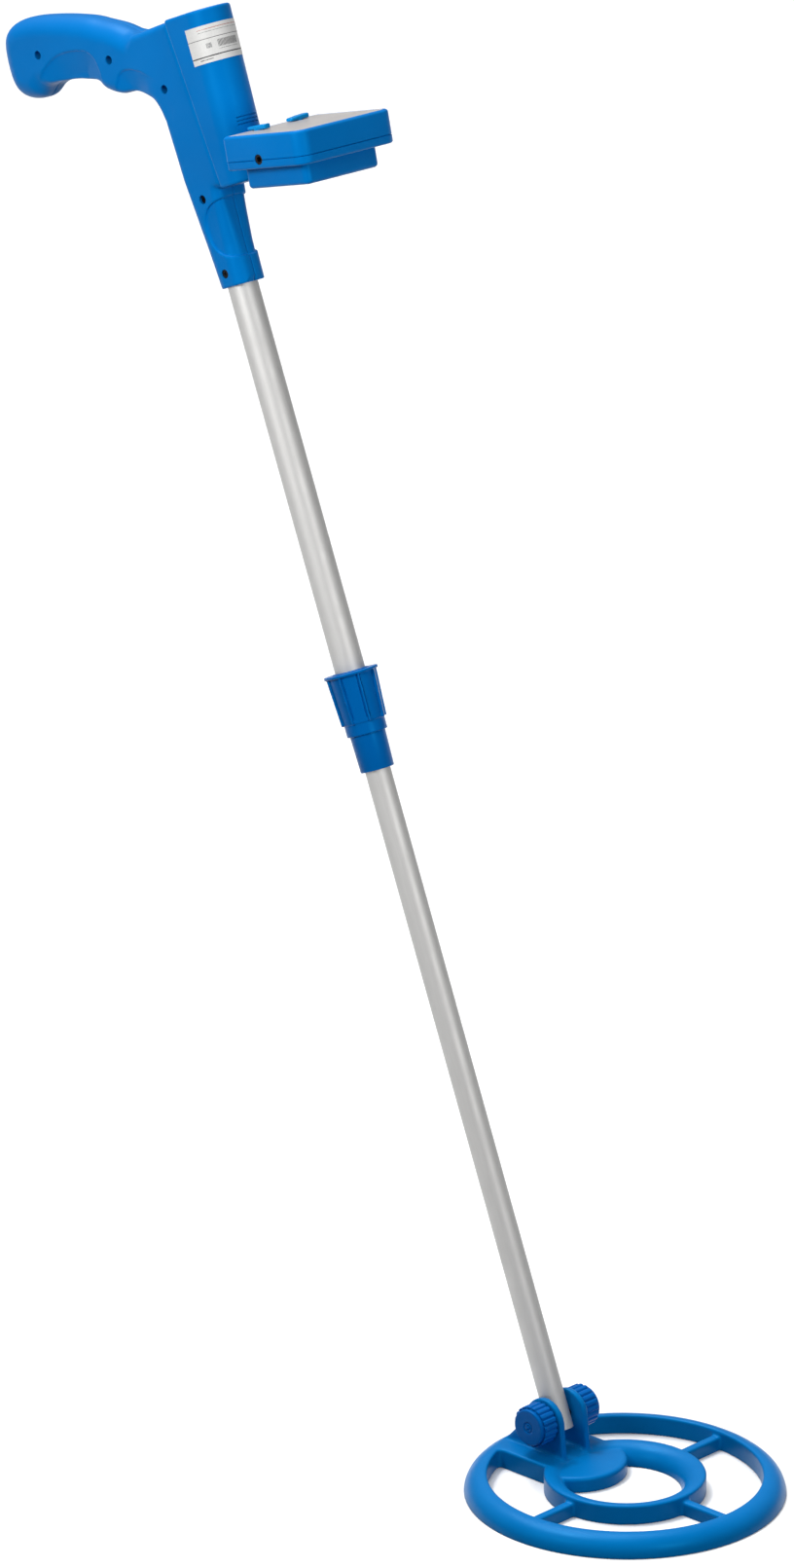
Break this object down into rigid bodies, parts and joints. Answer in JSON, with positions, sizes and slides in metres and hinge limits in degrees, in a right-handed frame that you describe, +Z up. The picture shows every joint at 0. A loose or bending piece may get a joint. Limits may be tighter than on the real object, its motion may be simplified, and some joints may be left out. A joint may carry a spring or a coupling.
{
  "type": "metal detector",
  "caption": "Hand-held metal detector: pistol grip, pod, tilted control box, twist-lock telescopic stem and round open search coil on a clamped tilt joint.",
  "frame": {"origin": "centre of the hand grip", "axes": "+Z up with the search coil level, +X forward from the grip to the coil, XZ the mirror plane, user's right side -Y"},
  "size_m": [0.616, 0.1972, 0.8754],
  "materials": {
    "housing_blue": "satin moulded plastic",
    "coil_blue": "satin moulded plastic",
    "clamp_blue": "satin moulded plastic",
    "knob_blue": "satin moulded plastic",
    "collar_blue": "satin moulded plastic",
    "tube_aluminium": "satin drawn tube",
    "screw_steel": "zinc plated",
    "nut_brass": "turned",
    "panel_silver": "fine grained foil",
    "label_white": "printed foil",
    "bush_plastic": "moulded",
    "speaker_black": "black",
    "board_green": "solder mask",
    "control_steel": "stamped",
    "socket_black": "moulded",
    "battery_steel": "printed jacket",
    "snap_black": "moulded",
    "winding_copper": "enamelled wire bundle",
    "gland_rubber": "moulded"
  },
  "bodies": {
    "handle": {"handle_right": "housing_blue", "handle_left": "housing_blue", "handle_screws": "screw_steel", "pod_screws": "screw_steel", "pod_shell": "housing_blue", "pod_label": "label_white", "speaker": "speaker_black", "upper_tube": "tube_aluminium", "collet": "collar_blue", "control_cover": "housing_blue", "control_tray": "housing_blue", "control_screws": "screw_steel", "bridge_screws": "screw_steel", "control_panel": "panel_silver", "circuit_board": "board_green", "volume_control": "control_steel", "tuning_control": "control_steel", "headphone_socket": "socket_black", "battery": "battery_steel", "battery_snap": "snap_black"},
    "lock_nut": {"lock_nut": "collar_blue"},
    "stem": {"lower_tube": "tube_aluminium", "lower_tube_bushing": "bush_plastic", "lower_tube_insert": "bush_plastic"},
    "coil_head": {"coil_shell": "coil_blue", "coil_cover": "coil_blue", "outer_winding": "winding_copper", "inner_winding": "winding_copper", "coil_gland": "gland_rubber", "clamp_washers": "screw_steel"},
    "clamp_right": {"clamp_knob_right": "clamp_blue", "clamp_bolt": "screw_steel"},
    "clamp_left": {"clamp_knob_left": "clamp_blue", "clamp_nut": "nut_brass"},
    "volume_knob": {"volume_knob": "knob_blue"},
    "tuning_knob": {"tuning_knob": "knob_blue"},
    "battery_door": {"battery_door": "housing_blue"}
  },
  "joints": [
    {"name": "twist_lock", "type": "hinge", "parent": "handle", "child": "lock_nut", "pos_m": [0.23296, 0, -0.37415], "axis": [-0.3633, 0, 0.9317], "range_deg": [-90, 0]},
    {"name": "stem_slide", "type": "slide", "parent": "handle", "child": "stem", "axis": [-0.3633, 0, 0.9317], "range_m": [0, 0.17]},
    {"name": "coil_tilt", "type": "hinge", "parent": "stem", "child": "coil_head", "pos_m": [0.3986, 0, -0.799], "axis": [0, 1, 0], "range_deg": [-110, 65]},
    {"name": "clamp_right_turn", "type": "hinge", "parent": "coil_head", "child": "clamp_right", "pos_m": [0.3986, -0.019, -0.799], "axis": [0, 1, 0], "range_deg": [0, 360]},
    {"name": "clamp_left_turn", "type": "hinge", "parent": "coil_head", "child": "clamp_left", "pos_m": [0.3986, 0.019, -0.799], "axis": [0, 1, 0], "range_deg": [-360, 0]},
    {"name": "volume_turn", "type": "hinge", "parent": "handle", "child": "volume_knob", "pos_m": [0.16928, -0.0165, -0.02326], "axis": [-0.2233, 0, 0.9748], "range_deg": [-150, 150]},
    {"name": "tuning_turn", "type": "hinge", "parent": "handle", "child": "tuning_knob", "pos_m": [0.16928, 0.0165, -0.02326], "axis": [-0.2233, 0, 0.9748], "range_deg": [-240, 60]},
    {"name": "battery_door_slide", "type": "slide", "parent": "handle", "child": "battery_door", "axis": [0, 1, 0], "range_m": [0, 0.056]}
  ]
}
